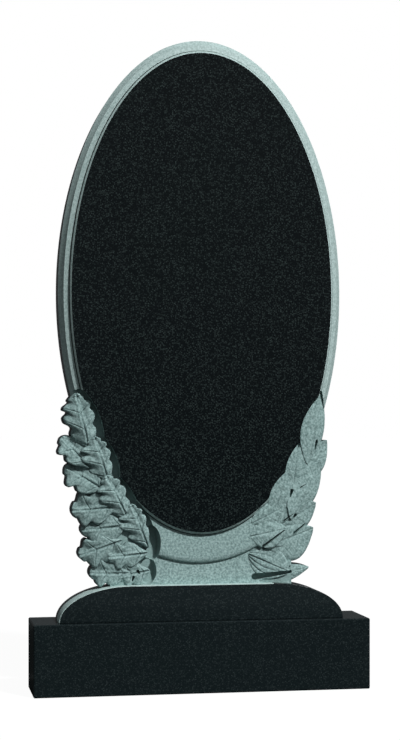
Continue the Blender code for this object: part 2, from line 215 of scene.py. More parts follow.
class NeckSizes(bpy.types.PropertyGroup):
    """Sizes of the hump at the foot, and of the neck, collar and scoops over it"""

    hump_width: length_property("Hump width", "Width of the low hump at the foot", 0.594)
    hump_height: length_property("Hump height", "Height of the low hump", 0.074)
    hump_shoulder: length_property("Hump shoulder", "Length of the hump's round ends", 0.148)
    hump_edge: length_property("Hump edge", "Broken front edge of the hump", 0.0012)
    hump_honed: length_property("Honed depth", "How far back the hump's upper side is honed", 0.050)
    neck_height: length_property("Neck height", "From the hump's top to the face's lowest point", 0.1034)
    neck_width: length_property("Neck width", "Width of the neck behind the leaves", 0.380)
    field_height: length_property("Field height", "Sunk field under the collar", 0.044)
    field_drop: length_property("Field drop", "How far the field lies behind the face", 0.0165)
    collar_radius: length_property("Collar radius", "Radius of the collar's lower edge", 0.240)
    collar_width: length_property("Collar width", "Width of the collar", 0.300)
    collar_offset: length_property("Collar offset", "Sideways place of the collar", -0.006)
    collar_roll: length_property("Collar roll", "Width of the collar's rounded lower edge", 0.012)
    collar_fall: length_property("Collar fall", "Depth of the collar's rounded lower edge", 0.0055)
    scoop_width: length_property("Scoop width", "Width of the two hollows beside the neck", 0.038)
    scoop_drop: length_property("Scoop drop", "Depth of the two hollows", 0.034)


class SpraySizes(bpy.types.PropertyGroup):
    """Depths and fineness of the carved leaves"""

    drop: length_property("Spray drop", "Depth of the relief that the leaves are cut in", 0.036)
    bed_drop: length_property("Bed drop", "Depth of the sunk bed round the leaves", 0.020)
    hole_drop: length_property("Hole drop", "Depth of the drilled holes", 0.030)
    oak_ground: length_property("Oak ground", "Depth of the ground behind the oak leaves", 0.031)
    laurel_ground: length_property("Laurel ground", "Depth of the ground behind the laurel", 0.019)
    oak_margin: length_property("Oak margin", "Bed left open round the oak leaves", 0.007)
    laurel_margin: length_property("Laurel margin", "Bed left open round the laurel, or covered", -0.002)
    groove: length_property("Midrib groove", "Depth of the midrib's groove", 0.0032)
    vein: length_property("Vein groove", "Depth of the side veins' grooves", 0.0015)
    lobe_relief: length_property("Lobe relief", "How far the oak lobes stand out", 0.0022)
    wrinkle: length_property("Wrinkle", "Height of the wrinkles along the side veins", 0.0008)
    dish: length_property("Dish", "Hollow beside an oak leaf's midrib, near the tip", 0.0090)
    edge_roll: length_property("Edge roll", "How far a leaf turns down at its edge", 0.0030)
    tooling: length_property("Tooling", "Unevenness left by the chisel", 0.0005)
    oak_crown: FloatProperty(name="Oak crown", description="Arch of a leaf, in its lengths", default=0.11)
    laurel_crown: FloatProperty(
        name="Laurel crown", description="Arch of a leaf, in its lengths", default=0.055
    )
    oak_rows: IntProperty(name="Oak rows", description="Steps along an oak leaf", default=96)
    oak_columns: IntProperty(name="Oak columns", description="Steps across an oak leaf", default=44)
    laurel_rows: IntProperty(name="Laurel rows", description="Steps along a laurel leaf", default=72)
    laurel_columns: IntProperty(name="Laurel columns", description="Steps across a laurel leaf", default=40)


class StoneLooks(bpy.types.PropertyGroup):
    """Colours and grain of the stone"""

    black: colour_property("Black", "Polished ground of the stone", "#080f11")
    fleck: colour_property("Fleck", "Paler grains in the polish", "#35403f")
    close_black: colour_property("Close black", "Polished ground of the closer grained foot", "#131c1e")
    close_fleck: colour_property("Close fleck", "Paler grains of the closer grained foot", "#2f3839")
    honed: colour_property("Honed", "Honed stone of the frame", "#c0d5d3")
    honed_grain: colour_property("Honed grain", "Darker grains of the honed stone", "#9bb2af")
    carved: colour_property("Carved", "Carved stone of leaves, collar and field", "#aac6c4")
    carved_grain: colour_property("Carved grain", "Darker grains of the carved stone", "#728d8b")
    # Painted shade: the colour that the carved finish darkens to where the stone is closed in.
    shade: colour_property("Shade", "Carved stone in the recesses", "#1f2f32")
    tooled: colour_property("Tooled", "Pecked ground round the leaves", "#9db8b5")
    grain: length_property("Grain", "Width of a grain of the stone", 0.0030)


class StageLooks(bpy.types.PropertyGroup):
    """Light and floor of the stage"""

    floor: colour_property("Floor", "Pale floor", "#434646")
    floor_glow: FloatProperty(
        name="Floor glow", description="Light added where the floor is seen", default=0.96
    )
    key: FloatProperty(name="Key light", description="Strength of the sun lamp", default=3.25)
    key_size: FloatProperty(
        name="Key size", description="How wide the sun lamp looks", default=math.radians(5), subtype="ANGLE"
    )
    key_tilt: FloatProperty(
        name="Key tilt", description="Sun lamp from straight above", default=math.radians(46.4),
        subtype="ANGLE",
    )
    key_turn: FloatProperty(
        name="Key turn", description="Sun lamp to the right of the front", default=math.radians(31.7),
        subtype="ANGLE",
    )
    fill_lit: FloatProperty(name="Fill on the lit side", description="Surround by the sun", default=0.24)
    fill_far: FloatProperty(name="Fill on the far side", description="Surround facing the sun", default=0.03)


class HeadstoneSettings(bpy.types.PropertyGroup):
    """All settings of the headstone"""

    oval: PointerProperty(type=OvalSizes)
    neck: PointerProperty(type=NeckSizes)
    spray: PointerProperty(type=SpraySizes)
    stone: PointerProperty(type=StoneLooks)
    stage: PointerProperty(type=StageLooks)


def add_node(tree, kind, inputs=None, **settings):
    """Add a node with its settings. inputs gives each socket a value or another node's output."""
    node = tree.nodes.new(kind)
    for name, value in settings.items():
        setattr(node, name, value)
    for key, value in (inputs or {}).items():
        if isinstance(value, bpy.types.NodeSocket):
            tree.links.new(value, node.inputs[key])
        else:
            node.inputs[key].default_value = value
    return node


def four(colour):
    """A colour with full alpha."""
    return (*colour, 1.0)


def new_material(name):
    """A node material with its Principled shader, tree and object coordinates."""
    material = bpy.data.materials.new(name)
    material.use_nodes = True
    tree = material.node_tree
    shader = tree.nodes["Principled BSDF"]
    place = add_node(tree, "ShaderNodeTexCoord").outputs["Object"]
    return material, tree, shader, place


def buffed(name, looks, black, pale):
    """Black gabbro, ground and buffed: a deep near-black gloss with fine paler feldspar grains."""
    material, tree, shader, place = new_material(name)
    cells = add_node(tree, "ShaderNodeTexVoronoi", {"Vector": place, "Scale": 1 / (1.05 * looks.grain)})
    chosen = add_node(tree, "ShaderNodeSeparateColor", {"Color": cells.outputs["Color"]})
    rare = add_node(
        tree, "ShaderNodeMapRange",
        {"Value": chosen.outputs["Red"], "From Min": 0.20, "From Max": 1.0, "To Min": 0.0, "To Max": 1.0},
    )
    small = add_node(
        tree, "ShaderNodeMapRange",
        {
            "Value": cells.outputs["Distance"], "From Min": 0.20, "From Max": 0.62,
            "To Min": 1.0, "To Max": 0.0,
        },
    )
    strength = add_node(
        tree, "ShaderNodeMath", {0: rare.outputs["Result"], 1: small.outputs["Result"]}, operation="MULTIPLY"
    )
    mixed = add_node(
        tree, "ShaderNodeMix",
        {0: strength.outputs["Value"], 6: four(black), 7: four(pale)},
        data_type="RGBA",
    )
    tree.links.new(mixed.outputs[2], shader.inputs["Base Color"])
    shader.inputs["Roughness"].default_value = 0.24
    shader.inputs["Specular IOR Level"].default_value = 0.20
    return material


def polished_gabbro(looks):
    """The polish of the face, with flecks that show from a few steps away."""
    return buffed("polished_gabbro", looks, looks.black, looks.fleck)


def close_gabbro(looks):
    """The polish of the hump and the stand, where the grain is closer and the flecks are dimmer."""
    return buffed("close_gabbro", looks, looks.close_black, looks.close_fleck)


def mottle(tree, place, looks, ground, grain):
    """The mottled colour of cut stone: a pale ground with darker grains."""
    grains = add_node(
        tree, "ShaderNodeTexNoise",
        {"Vector": place, "Scale": 1 / (1.4 * looks.grain), "Detail": 2.0, "Roughness": 0.6},
    )
    spread = add_node(
        tree, "ShaderNodeMapRange", {"Value": grains.outputs["Fac"], "From Min": 0.34, "From Max": 0.66}
    )
    mixed = add_node(
        tree, "ShaderNodeMix",
        {0: spread.outputs["Result"], 6: four(grain), 7: four(ground)},
        data_type="RGBA",
    )
    return mixed.outputs[2]


def rough_skin(tree, place, shader, grain, height):
    """A fine bump of the grains left by the grit or the chisel."""
    grit = add_node(tree, "ShaderNodeTexNoise", {"Vector": place, "Scale": 1 / grain, "Detail": 3.0})
    bump = add_node(
        tree, "ShaderNodeBump", {"Height": grit.outputs["Fac"], "Distance": height, "Strength": 0.6}
    )
    tree.links.new(bump.outputs["Normal"], shader.inputs["Normal"])


def honed_gabbro(looks):
    """The same stone ground flat but not polished: pale grey-green, matt, finely mottled."""
    material, tree, shader, place = new_material("honed_gabbro")
    colour = mottle(tree, place, looks, looks.honed, looks.honed_grain)
    tree.links.new(colour, shader.inputs["Base Color"])
    rough_skin(tree, place, shader, looks.grain / 2, 0.0003)
    shader.inputs["Roughness"].default_value = 0.62
    shader.inputs["Specular IOR Level"].default_value = 0.35
    return material


def carved_gabbro(looks):
    """Chiselled and rubbed leaves: as pale as the honed stone, with painted shade mixed in where the stone
    is closed in.
    """
    material, tree, shader, place = new_material("carved_gabbro")
    # Painted shade: the colour darkens towards the shade colour where rays find the stone closed in.
    painted_recess_shade = add_node(tree, "ShaderNodeAttribute", attribute_name="painted_recess_shade")
    colour = mottle(tree, place, looks, looks.carved, looks.carved_grain)
    mixed = add_node(
        tree, "ShaderNodeMix",
        {0: painted_recess_shade.outputs["Fac"], 6: colour, 7: four(looks.shade)},
        data_type="RGBA",
    )
    tree.links.new(mixed.outputs[2], shader.inputs["Base Color"])
    rough_skin(tree, place, shader, looks.grain / 2, 0.0005)
    shader.inputs["Roughness"].default_value = 0.70
    shader.inputs["Specular IOR Level"].default_value = 0.30
    return material


def tooled_gabbro(looks):
    """The sunk ground, pecked with a point: dull grey-green with a coarse grain."""
    material, tree, shader, place = new_material("tooled_gabbro")
    grains = add_node(
        tree, "ShaderNodeTexNoise", {"Vector": place, "Scale": 1 / (1.5 * looks.grain), "Detail": 3.0}
    )
    mixed = add_node(
        tree, "ShaderNodeMix",
        {0: grains.outputs["Fac"], 6: four(looks.carved_grain), 7: four(looks.tooled)},
        data_type="RGBA",
    )
    tree.links.new(mixed.outputs[2], shader.inputs["Base Color"])
    rough_skin(tree, place, shader, looks.grain, 0.0008)
    shader.inputs["Roughness"].default_value = 0.80
    shader.inputs["Specular IOR Level"].default_value = 0.25
    return material


def finishes(looks):
    """The stone's finishes, made once."""
    makers = (polished_gabbro, honed_gabbro, carved_gabbro, tooled_gabbro, close_gabbro)
    return [bpy.data.materials.get(name) or maker(looks) for name, maker in zip(FINISH_NAMES, makers)]


def hump_top(neck):
    """Height of the hump's flat top."""
    return FOOT + neck.hump_height


def hump_flat(neck):
    """Half width of the hump's flat top."""
    return neck.hump_width / 2 - neck.hump_shoulder


def sunk_foot(neck):
    """How low the neck and the sprays' grounds reach, inside the hump."""
    return hump_top(neck) - neck.hump_height / 3


def oval_centre(oval, neck):
    """Height of the middle of the oval."""
    return hump_top(neck) + neck.neck_height + oval.face_height / 2


def spot(settings, across, up):
    """A place on the stele from its shares of the face's half width and of the lower half."""
    low = hump_top(settings.neck)
    high = oval_centre(settings.oval, settings.neck)
    return across * settings.oval.face_width / 2, low + up * (high - low)


def new_group(name):
    """A collection in the scene."""
    group = bpy.data.collections.new(name)
    bpy.context.scene.collection.children.link(group)
    return group


def new_thing(name, builder, group, stone):
    """An object from a closed bmesh, with the stone's finishes as its material slots."""
    bmesh.ops.recalc_face_normals(builder, faces=builder.faces)
    mesh = bpy.data.meshes.new(name)
    builder.to_mesh(mesh)
    builder.free()
    for material in stone:
        mesh.materials.append(material)
    thing = bpy.data.objects.new(name, mesh)
    group.objects.link(thing)
    return thing


def arc_points(centre_x, centre_z, radius_x, radius_z, start, stop, steps):
    """Points on part of an ellipse, with angles in degrees."""
    points = []
    for step in range(steps + 1):
        angle = math.radians(start + (stop - start) * step / steps)
        points.append((centre_x + radius_x * math.cos(angle), centre_z + radius_z * math.sin(angle)))
    return points


def run_left(outline):
    """The outline with its inside on its left, as seen from the front."""
    area = 0.0
    for (x_1, z_1), (x_2, z_2) in zip(outline, outline[1:] + outline[:1]):
        area += x_1 * z_2 - x_2 * z_1
    return outline if area > 0 else outline[::-1]


def inset_ring(outline, inset):
    """A closed outline moved inwards by an even distance."""
    moved = []
    for index, (x, z) in enumerate(outline):
        before = Vector((x, z)) - Vector(outline[index - 1])
        after = Vector(outline[(index + 1) % len(outline)]) - Vector((x, z))
        normals = [Vector((-side.y, side.x)).normalized() for side in (before, after)]
        mitre = (normals[0] + normals[1]) / (1.0 + normals[0].dot(normals[1]))
        moved.append((x + inset * mitre.x, z + inset * mitre.y))
    return moved


def round_edge(front, width, fall, steps):
    """Levels of (inset, depth) for a quarter of an ellipse from a side to the front."""
    angles = [math.pi / 2 * step / steps for step in range(steps + 1)]
    return [(width * (1 - math.cos(a)), front + fall * (1 - math.sin(a))) for a in angles]


def plate(name, outline, levels, faces, group, stone):
    """A closed plate from levels of (inset, depth), from the back to the front.

    faces gives the finish of the back, of each band between levels and of the front."""
    outline = run_left(outline)
    builder = bmesh.new()
    rings = []
    for inset, depth in levels:
        rings.append([builder.verts.new((x, depth, z)) for x, z in inset_ring(outline, inset)])
    builder.faces.new(rings[0]).material_index = faces[0]
    for finish, ring, further in zip(faces[1:], rings, rings[1:]):
        for index in range(len(ring)):
            after = (index + 1) % len(ring)
            side = builder.faces.new((ring[index], ring[after], further[after], further[index]))
            side.material_index = finish
    builder.faces.new(rings[-1]).material_index = faces[-1]
    return new_thing(name, builder, group, stone)


def add_boolean(thing, operation, group):
    """Join to the object, or cut from it, every object of a collection."""
    modifier = thing.modifiers.new(operation.lower(), "BOOLEAN")
    modifier.operation = operation
    modifier.operand_type = "COLLECTION"
    modifier.collection = group
    modifier.solver = "MANIFOLD"


def settled(thing, name, stone):
    """The object's evaluated mesh as a new plain object, and the object removed."""
    bpy.context.view_layer.update()
    evaluated = thing.evaluated_get(bpy.context.evaluated_depsgraph_get())
    mesh = bpy.data.meshes.new_from_object(evaluated)
    order = [stone.index(material) if material else HONED for material in mesh.materials]
    indices = [order[face.material_index] for face in mesh.polygons]
    mesh.materials.clear()
    for material in stone:
        mesh.materials.append(material)
    mesh.polygons.foreach_set("material_index", indices)
    bpy.data.objects.remove(thing)
    made = bpy.data.objects.new(name, mesh)
    bpy.context.scene.collection.objects.link(made)
    return made


def remove_group(group):
    """Remove a collection with the objects in it."""
    for thing in list(group.objects):
        bpy.data.objects.remove(thing)
    bpy.data.collections.remove(group)


# The middle point of the frame's rounded outer edge: its fall and its inset, in sizes of that edge.
ROLL_FALL = 0.3
ROLL_INSET = 0.2


def stepped_oval_tree(stone):
    """Geometry Nodes: a closed oval turned from a stepped profile, from the back to the front."""
    tree = bpy.data.node_groups.new("Stepped oval", "GeometryNodeTree")
    tree.interface.new_socket("Geometry", in_out="OUTPUT", socket_type="NodeSocketGeometry")
    names = ("Width", "Height", "Front", "Back", "Face edge", "Frame width", "Frame drop", "Frame slope",
             "Frame edge", "Rim width", "Rim drop", "Quirk", "Band at top", "Arris", "Centre height")
    for name in names:
        tree.interface.new_socket(name, in_out="INPUT", socket_type="NodeSocketFloat")
    tree.interface.new_socket("Segments", in_out="INPUT", socket_type="NodeSocketInt")
    given = tree.nodes.new("NodeGroupInput").outputs

    def calculate(operation, first, second=0.0):
        """The result of a math node. A comparison is true within a half."""
        sockets = {0: first, 1: second}
        if operation == "COMPARE":
            sockets[2] = 0.5
        return add_node(tree, "ShaderNodeMath", sockets, operation=operation).outputs[0]

    outside = calculate("ADD", given["Frame width"], given["Rim width"])
    frame_front = calculate("ADD", given["Front"], given["Frame drop"])
    frame_outer = calculate("ADD", frame_front, given["Frame slope"])
    rim_front = calculate("ADD", given["Front"], given["Rim drop"])
    roll = calculate("MULTIPLY", given["Frame edge"], ROLL_FALL)
    inner_arris = calculate("SUBTRACT", outside, given["Arris"])
    roll_inset = calculate("MULTIPLY", given["Frame edge"], ROLL_INSET)
    rim_start = calculate("SUBTRACT", given["Frame width"], roll_inset)
    # How far each ring of the profile stands out past the face, and its depth.
    grow = (
        inner_arris, inner_arris, outside, outside, given["Frame width"], rim_start,
        calculate("SUBTRACT", given["Frame width"], given["Frame edge"]), given["Quirk"], 0.0,
        calculate("MULTIPLY", given["Face edge"], -1.0), calculate("MULTIPLY", given["Face edge"], -1.0),
    )
    depth = (
        given["Back"], given["Back"], calculate("SUBTRACT", given["Back"], given["Arris"]),
        rim_front, calculate("ADD", frame_outer, given["Frame edge"]),
        calculate("ADD", frame_outer, roll), frame_outer, frame_front,
        calculate("ADD", given["Front"], given["Face edge"]),
        given["Front"], given["Front"],
    )
    rows = len(grow)
    columns = calculate("ADD", given["Segments"], 1.0)
    grid = add_node(tree, "GeometryNodeMeshGrid", {"Vertices X": columns, "Vertices Y": rows})
    number = tree.nodes.new("GeometryNodeInputIndex").outputs[0]
    row = calculate("MODULO", number, float(rows))
    column = calculate("FLOOR", calculate("DIVIDE", number, float(rows)))
    turn = calculate("MULTIPLY", calculate("DIVIDE", column, given["Segments"]), 2 * math.pi)

    def by_row(values):
        """One value for each ring of the profile, picked by the ring that a point is on."""
        switch = tree.nodes.new("GeometryNodeIndexSwitch")
        switch.data_type = "FLOAT"
        while len(switch.index_switch_items) < len(values):
            switch.index_switch_items.new()
        tree.links.new(row, switch.inputs["Index"])
        for place, value in enumerate(values, start=1):
            if isinstance(value, bpy.types.NodeSocket):
                tree.links.new(value, switch.inputs[place])
            else:
                switch.inputs[place].default_value = value
        return switch.outputs[0]

    stands_out = by_row(grow)
    open_ring = by_row([0.0] + [1.0] * (rows - 2) + [0.0])
    half_width = calculate("ADD", calculate("DIVIDE", given["Width"], 2.0), stands_out)
    taller = calculate("MULTIPLY", stands_out, given["Band at top"])
    half_height = calculate("ADD", calculate("DIVIDE", given["Height"], 2.0), taller)
    across = calculate("MULTIPLY", calculate("MULTIPLY", calculate("COSINE", turn), half_width), open_ring)
    up = calculate("MULTIPLY", calculate("MULTIPLY", calculate("SINE", turn), half_height), open_ring)
    place = add_node(
        tree, "ShaderNodeCombineXYZ",
        {"X": across, "Y": by_row(depth), "Z": calculate("ADD", up, given["Centre height"])},
    )
    shaped = add_node(
        tree, "GeometryNodeSetPosition", {"Geometry": grid.outputs["Mesh"], "Position": place.outputs[0]}
    ).outputs[0]
    # The bands at the back and side, the face and the dark wall round it are polished. The wall is the
    # face's polished side, widened so that its black also stands in for the thin shadow line round the face:
    # partly painted shade.
    band = calculate("MODULO", number, float(rows - 1))
    behind = calculate("LESS_THAN", band, 2.5)
    before = calculate("GREATER_THAN", band, rows - 2.5)
    wall = calculate("COMPARE", band, float(rows - 4))
    honed = add_node(tree, "GeometryNodeSetMaterial", {"Geometry": shaped, "Material": stone[HONED]})
    polished = add_node(
        tree, "GeometryNodeSetMaterial",
        {
            "Geometry": honed.outputs[0],
            "Selection": calculate("ADD", calculate("ADD", behind, before), wall),
            "Material": stone[POLISHED],
        },
    )
    closed = add_node(
        tree, "GeometryNodeMergeByDistance", {"Geometry": polished.outputs[0], "Distance": 0.00001}
    )
    plain = add_node(tree, "GeometryNodeRealizeInstances", {"Geometry": closed.outputs[0]})
    out = tree.nodes.new("NodeGroupOutput")
    tree.links.new(plain.outputs[0], out.inputs[0])
    return tree


def stepped_oval(settings, stone):
    """The stele's oval with its polished face, frame, rim, sides and back, as one closed mesh."""
    oval, neck = settings.oval, settings.neck
    tree = stepped_oval_tree(stone)
    carrier = bpy.data.objects.new("oval", bpy.data.meshes.new("oval"))
    bpy.context.scene.collection.objects.link(carrier)
    modifier = carrier.modifiers.new("stepped oval", "NODES")
    modifier.node_group = tree
    values = {
        "Width": oval.face_width, "Height": oval.face_height, "Front": FRONT, "Back": BACK,
        "Face edge": oval.face_edge, "Frame width": oval.frame_width, "Frame drop": oval.frame_drop,
        "Frame slope": oval.frame_slope, "Frame edge": oval.frame_edge, "Rim width": oval.rim_width,
        "Rim drop": oval.rim_drop, "Quirk": oval.quirk, "Band at top": oval.band_tall, "Arris": oval.arris,
        "Centre height": oval_centre(oval, neck), "Segments": oval.segments,
    }
    for socket in tree.interface.items_tree:
        if socket.in_out == "INPUT":
            modifier[socket.identifier] = values[socket.name]
    made = settled(carrier, "stele_slab", stone)
    builder = bmesh.new()
    builder.from_mesh(made.data)
    bmesh.ops.recalc_face_normals(builder, faces=builder.faces)
    builder.to_mesh(made.data)
    builder.free()
    return made


def hump_outline(neck):
    """The low hump at the stele's foot: a flat top with a quarter ellipse at each end."""
    flat = hump_flat(neck)
    right = arc_points(flat, FOOT, neck.hump_shoulder, neck.hump_height, 0.0, 90.0, HUMP_STEPS)
    left = arc_points(-flat, FOOT, neck.hump_shoulder, neck.hump_height, 90.0, 180.0, HUMP_STEPS)
    return right + left


def collar_outline(settings):
    """The collar: a shallow arc below, and straight sides up into the oval."""
    neck = settings.neck
    centre_z = hump_top(neck) + neck.field_height + neck.collar_radius
    half = neck.collar_width / 2
    reach = math.degrees(math.asin(half / neck.collar_radius))
    arc = arc_points(
        neck.collar_offset, centre_z, neck.collar_radius, neck.collar_radius, 270 - reach, 270 + reach,
        COLLAR_STEPS,
    )
    top = hump_top(neck) + 2 * neck.neck_height
    return arc + [(neck.collar_offset + half, top), (neck.collar_offset - half, top)]


def neck_plates(settings, group, stone):
    """The sunk field of the neck and the collar, to be joined to the oval."""
    neck = settings.neck
    half = neck.neck_width / 2
    low = sunk_foot(neck)
    high = hump_top(neck) + 1.5 * neck.neck_height
    inside = BACK - FIELD_SHORT
    field = [(-half, low), (half, low), (half, high), (-half, high)]
    field_front = FRONT + neck.field_drop
    plate("field", field, [(0, inside), (0, field_front)], (POLISHED, POLISHED, CARVED), group, stone)
    frame_front = FRONT + settings.oval.frame_drop
    levels = [(0, BACK - COLLAR_SHORT)] + round_edge(frame_front, neck.collar_roll, neck.collar_fall, 8)
    plate("collar", collar_outline(settings), levels, [CARVED] * (len(levels) + 1), group, stone)


def hump_plate(settings, group, stone):
    """The low hump at the foot: polished in front, honed over the front part of its upper side."""
    neck = settings.neck
    honed_to = FRONT + neck.hump_honed
    edge = round_edge(FRONT, neck.hump_edge, neck.hump_edge, 3)
    levels = [(settings.oval.arris, BACK), (0, BACK - settings.oval.arris), (0, honed_to)] + edge
    faces = [CLOSE] * 3 + [HONED] * len(edge) + [CLOSE]
    hump = plate("hump", hump_outline(neck), levels, faces, group, stone)
    # The edges along the foot and round the right end are polished like the front, so that they do not catch
    # the light as bright lines; round the right end, on the sun's side, this darkness is painted shade.
    for face in hump.data.polygons:
        if face.center.z < FOOT + neck.hump_edge or face.center.x > hump_flat(neck):
            face.material_index = CLOSE


def leaf_axes(settings, leaf):
    """Base point, length, direction to the tip and direction to the leaf's left."""
    tip = Vector(spot(settings, *leaf.tip))
    base = Vector(spot(settings, *leaf.base))
    length = (tip - base).length
    ahead = (tip - base) / length
    return base, length, ahead, Vector((-ahead.y, ahead.x))


def oak_envelope(share):
    """Half width of an oak leaf along its length, before the lobes: narrow base, pointed tip."""
    return 0.08 + 0.92 * math.sin(math.pi * share ** 0.82) ** 0.65


def laurel_envelope(share):
    """Half width of a laurel leaf along its length: pointed tip, rounded base."""
    return 0.05 + 0.95 * math.sin(math.pi * share ** 0.90) ** 0.80


def bell(distance, width):
    """1 at no distance, fading over a width."""
    return math.exp(-((distance / width) ** 2))


# Where an oak leaf's last notch lies, how deep the notches cut in and how far the lobes sweep
# towards the tip, all as shares of the leaf. The relief is full on a side as wide as OAK_FULL_SIDE.
OAK_LAST_NOTCH = 0.80
OAK_NOTCH = 0.30
OAK_SWEEP = 0.24
OAK_FULL_SIDE = 0.38

# The hollow beside an oak leaf's midrib: where it is deepest and how long it is, as shares of the
# leaf, and where it is full and where it ends, as shares of the way from the midrib to the rim.
HOLLOW_DEEPEST = 0.68
HOLLOW_LONG = 0.24
HOLLOW_FULL = 0.28
HOLLOW_END = 0.88

# Widths of the cut lines in metres: midribs, the bead beside an oak midrib and its distance, veins,
# and the ribs of the leaf that lies over the stems.
OAK_MIDRIB = 0.0016
OAK_BEAD = 0.0020
OAK_BEAD_AT = 0.0042
OAK_VEIN = 0.0012
LAUREL_MIDRIB = 0.0014
LAUREL_VEIN = 0.0010
FAN_RIB = 0.0013

LAUREL_VEINS = 7

# How wide the strips are where a leaf turns down at its sides and its ends, as shares of half the
# leaf, and how close the chisel's coarse and fine marks are, in marks to a metre.
SIDE_STRIP = 0.14
END_STRIP = 0.05
COARSE_MARKS = 110
FINE_MARKS = 330


def hollow(share, wide):
    """How deep the hollow beside an oak leaf's midrib is: full next to the midrib, none at the rim."""
    along = bell(share - HOLLOW_DEEPEST, HOLLOW_LONG)
    return along * min(wide / HOLLOW_FULL, 1.0) * max(1.0 - wide / HOLLOW_END, 0.0)


def oak_point(spray, leaf, share, column, length):
    """Along, across and drop of one point of an oak leaf: lobes, midrib, side veins and a hollow."""
    wide = abs(column)
    side = leaf.left if column > 0 else leaf.right
    full = oak_envelope(share)
    lobe = leaf.lobes * share / OAK_LAST_NOTCH
    valley = 0.5 + 0.5 * math.cos(2 * math.pi * lobe)
    across = column * side * length * full * (1.0 - OAK_NOTCH * valley ** 2 * wide ** 1.5)
    along = length * (share + OAK_SWEEP * wide ** 0.85 * full * (1.0 - share ** 3))
    relief = side / OAK_FULL_SIDE
    drop = relief * spray.lobe_relief * math.cos(2 * math.pi * lobe) * wide ** 1.3
    if column < 0:
        drop += spray.dish * hollow(share, wide)
    streak = noise.noise(Vector((9.0 * share, 3.0 * column, 9.0 * leaf.tip[1])))
    drop += spray.wrinkle * streak * math.sin(math.pi * min(wide + 0.08, 1.0))
    drop += spray.groove * (1.1 - 0.5 * share) * bell(across, OAK_MIDRIB)
    drop -= 0.14 * spray.groove * bell(abs(across) - OAK_BEAD_AT, OAK_BEAD)
    from_vein = (lobe % 1.0 - 0.5) * OAK_LAST_NOTCH / leaf.lobes * length
    drop += spray.vein * bell(from_vein, OAK_VEIN) * (1.0 - wide ** 3)
    return along, across, drop


def laurel_point(spray, leaf, share, column, length):
    """Along, across and drop of one point of a laurel leaf: a shallow midrib and fine side veins."""
    wide = abs(column)
    side = leaf.left if column > 0 else leaf.right
    half = side * length * laurel_envelope(share)
    across = column * half
    along = share * length + 0.12 * wide * half * (1.0 - share)
    drop = 0.55 * spray.groove * (1.1 - 0.8 * share) * bell(across, LAUREL_MIDRIB)
    crumple = noise.noise(Vector((9.0 * share, 4.0 * column, 7.0 * leaf.tip[1])))
    drop += spray.wrinkle * crumple * math.sin(math.pi * share)
    phase = (share - 0.16 * wide) * LAUREL_VEINS
    near = abs(phase - round(phase)) / LAUREL_VEINS * length
    drop += 0.60 * spray.vein * bell(near, LAUREL_VEIN) * math.sin(math.pi * min(wide, 1.0)) ** 0.5
    return along, across, drop


# Ribs of the leaf that lies over the stems, and how much flatter it is than the others.
FAN_RIBS = 6
FAN_FLAT = 0.035


def arch(share, column):
    """The arch of a leaf: the middle stands up, the sides and the ends lie lower."""
    return 0.55 * column ** 2 - 0.45 * math.sin(math.pi * share)


def fan_point(spray, leaf, share, column, length):
    """One point of the leaf that lies over the stems, ribbed from its base like a fan."""
    along, across, drop = laurel_point(spray, leaf, share, column, length)
    rib = FAN_RIBS * (column + 1.0) / 2
    width = (leaf.left + leaf.right) * length / FAN_RIBS * laurel_envelope(share)
    fade = (1.0 - share ** 2) * (0.35 if column > 0 else 1.0)
    drop += 0.8 * spray.groove * bell((rib - round(rib)) * width, FAN_RIB) * fade
    drop -= FAN_FLAT * length * arch(share, column)
    return along, across, drop


def blade(settings, name, leaf, rule, crown_share, rows, columns, group, stone):
    """One carved leaf as a closed body: a relief in front and straight sides back to the slab's back."""
    spray = settings.spray
    base, length, ahead, left = leaf_axes(settings, leaf)
    crown = crown_share * length
    builder = bmesh.new()
    grid = []
    for row in range(rows + 1):
        share = row / rows
        line = []
        for step in range(columns + 1):
            column = 2.0 * step / columns - 1.0
            along, across, drop = rule(spray, leaf, share, column, length)
            drop += spray.drop * (leaf.base_drop + (leaf.tip_drop - leaf.base_drop) * share)
            drop += spray.drop * leaf.roll * column
            drop += crown * arch(share, column)
            rim = max(abs(column) - (1 - SIDE_STRIP), 0.0) / SIDE_STRIP
            ends = max(abs(2 * share - 1) - (1 - END_STRIP), 0.0) / END_STRIP
            drop += spray.edge_roll * max(rim, ends) ** 2
            x, z = base + ahead * along + left * across
            coarse = noise.noise(Vector((x, z, 0)) * COARSE_MARKS)
            rough = coarse + 0.5 * noise.noise(Vector((x, z, 1)) * FINE_MARKS)
            drop += spray.tooling * rough
            line.append(builder.verts.new((x, FRONT + max(drop, LEAF_BEHIND), z)))
        grid.append(line)
    for lower, upper in zip(grid, grid[1:]):
        for step in range(columns):
            quad = (lower[step], lower[step + 1], upper[step + 1], upper[step])
            builder.faces.new(quad).material_index = CARVED
    edge = grid[0] + [line[-1] for line in grid[1:]] + grid[-1][-2::-1]
    edge += [line[0] for line in grid[-2:0:-1]]
    behind = [builder.verts.new((v.co.x, BACK - SPRAY_SHORT, v.co.z)) for v in edge]
    for index, front_point in enumerate(edge):
        after = (index + 1) % len(edge)
        wall = builder.faces.new((front_point, edge[after], behind[after], behind[index]))
        wall.material_index = POLISHED
    builder.faces.new(behind).material_index = POLISHED
    return new_thing(name, builder, group, stone)


def bed_outline(settings, leaf, envelope, margin):
    """The outline of the sunk bed round one leaf, a margin wider than the leaf."""
    base, length, ahead, left = leaf_axes(settings, leaf)
    sides = []
    for side_sign, side in ((1, leaf.left), (-1, leaf.right)):
        line = []
        for step in range(BED_STEPS + 1):
            share = step / BED_STEPS
            along = (length + 2 * margin) * share - margin
            across = side_sign * max(side * length * envelope(share) + margin, 0.0005)
            line.append(tuple(base + ahead * along + left * across))
        sides.append(line)
    return sides[0] + sides[1][::-1]


